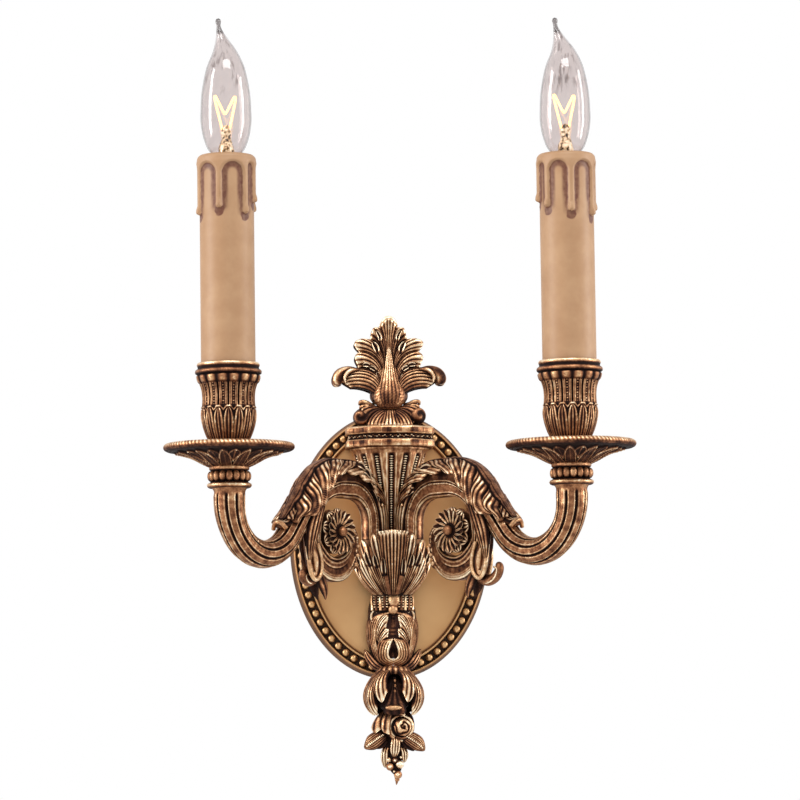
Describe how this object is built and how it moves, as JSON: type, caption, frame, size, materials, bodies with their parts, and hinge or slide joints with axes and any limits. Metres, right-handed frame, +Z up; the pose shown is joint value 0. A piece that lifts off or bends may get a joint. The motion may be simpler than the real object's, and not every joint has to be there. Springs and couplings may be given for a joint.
{
  "type": "double arm wall sconce",
  "caption": "Oval-backed wall sconce: leafy central body with two curved arms, each with a drip dish, a cup and a candle sleeve carrying a flame-shaped bulb.",
  "frame": {"origin": "middle of the mounting bar's back face, on the wall plane behind the backplate's centre", "axes": "+Z up, +Y into the wall, so the sconce faces -Y; +X to the viewer's right; candles stand along Z"},
  "size_m": [0.2716, 0.1755, 0.4447],
  "materials": {
    "antique_brass": "cast, antiqued dark in the recesses, rubbed bright on the high places",
    "satin_brass": "satin with darkened border",
    "zinc_steel": "zinc plated",
    "rim_screw_brass": "plated, polished",
    "candle_tan": "matt, antiqued brown round the drips",
    "socket_plastic": "moulded",
    "contact_brass": "bright",
    "base_nickel": "nickel plated",
    "bulb_clear": "clear",
    "filament_wire": "tungsten, lit",
    "lead_insulation": "PVC",
    "connector_plastic": "moulded"
  },
  "bodies": {
    "sconce": {"urn": "antique_brass", "urn_cap": "antique_brass", "finial_collar": "antique_brass", "finial": "antique_brass", "calyx": "antique_brass", "bracket": "antique_brass", "ball_drop": "antique_brass", "rose": "antique_brass", "berry_tail": "antique_brass", "hub": "antique_brass", "arm_tube_left": "antique_brass", "arm_tube_right": "antique_brass", "arm_root_left": "antique_brass", "arm_root_right": "antique_brass", "arm_leaf_left": "antique_brass", "arm_leaf_right": "antique_brass", "arm_scroll_left": "antique_brass", "arm_scroll_right": "antique_brass", "rosette_left": "antique_brass", "rosette_right": "antique_brass", "beaded_collar_left": "antique_brass", "beaded_collar_right": "antique_brass", "bobeche_left": "antique_brass", "bobeche_right": "antique_brass", "candle_cup_left": "antique_brass", "candle_cup_right": "antique_brass", "rosette_screws": "antique_brass", "backplate": "satin_brass", "crossbar": "zinc_steel", "body_screws": "zinc_steel", "tie_rod": "zinc_steel", "drop_stud": "zinc_steel", "arm_nipples": "zinc_steel", "nipple_nuts": "zinc_steel", "hub_nipple": "zinc_steel", "hub_nut": "zinc_steel", "socket_legs": "zinc_steel", "ground_screw": "zinc_steel", "rim_screws": "rim_screw_brass", "candle_sleeve_left": "candle_tan", "candle_sleeve_right": "candle_tan", "socket_body_left": "socket_plastic", "socket_body_right": "socket_plastic", "socket_contacts": "contact_brass", "socket_shell_left": "contact_brass", "socket_shell_right": "contact_brass", "lead_left": "lead_insulation", "lead_right": "lead_insulation", "wire_connectors": "connector_plastic"},
    "bulb_left_seat": {"bulb_contact_left": "contact_brass"},
    "bulb_left": {"bulb_glass_left": "bulb_clear", "bulb_base_left": "base_nickel", "bulb_mount_left": "bulb_clear", "filament_left": "filament_wire"},
    "bulb_right_seat": {"bulb_contact_right": "contact_brass"},
    "bulb_right": {"bulb_glass_right": "bulb_clear", "bulb_base_right": "base_nickel", "bulb_mount_right": "bulb_clear", "filament_right": "filament_wire"}
  },
  "joints": [
    {"name": "bulb_left_rise", "type": "slide", "parent": "sconce", "child": "bulb_left_seat", "axis": [0, 0, 1], "range_m": [0, 0.0077]},
    {"name": "bulb_left_turn", "type": "hinge", "parent": "bulb_left_seat", "child": "bulb_left", "pos_m": [-0.0983, -0.138, 0.2], "axis": [0, 0, 1], "range_deg": [0, 1080]},
    {"name": "bulb_right_rise", "type": "slide", "parent": "sconce", "child": "bulb_right_seat", "axis": [0, 0, 1], "range_m": [0, 0.0077]},
    {"name": "bulb_right_turn", "type": "hinge", "parent": "bulb_right_seat", "child": "bulb_right", "pos_m": [0.0983, -0.138, 0.2], "axis": [0, 0, 1], "range_deg": [0, 1080]}
  ],
  "couplings": [
    {"joint": "bulb_left_rise", "follows": "bulb_left_turn", "m_per_rad": 0.00040425},
    {"joint": "bulb_right_rise", "follows": "bulb_right_turn", "m_per_rad": 0.00040425}
  ]
}
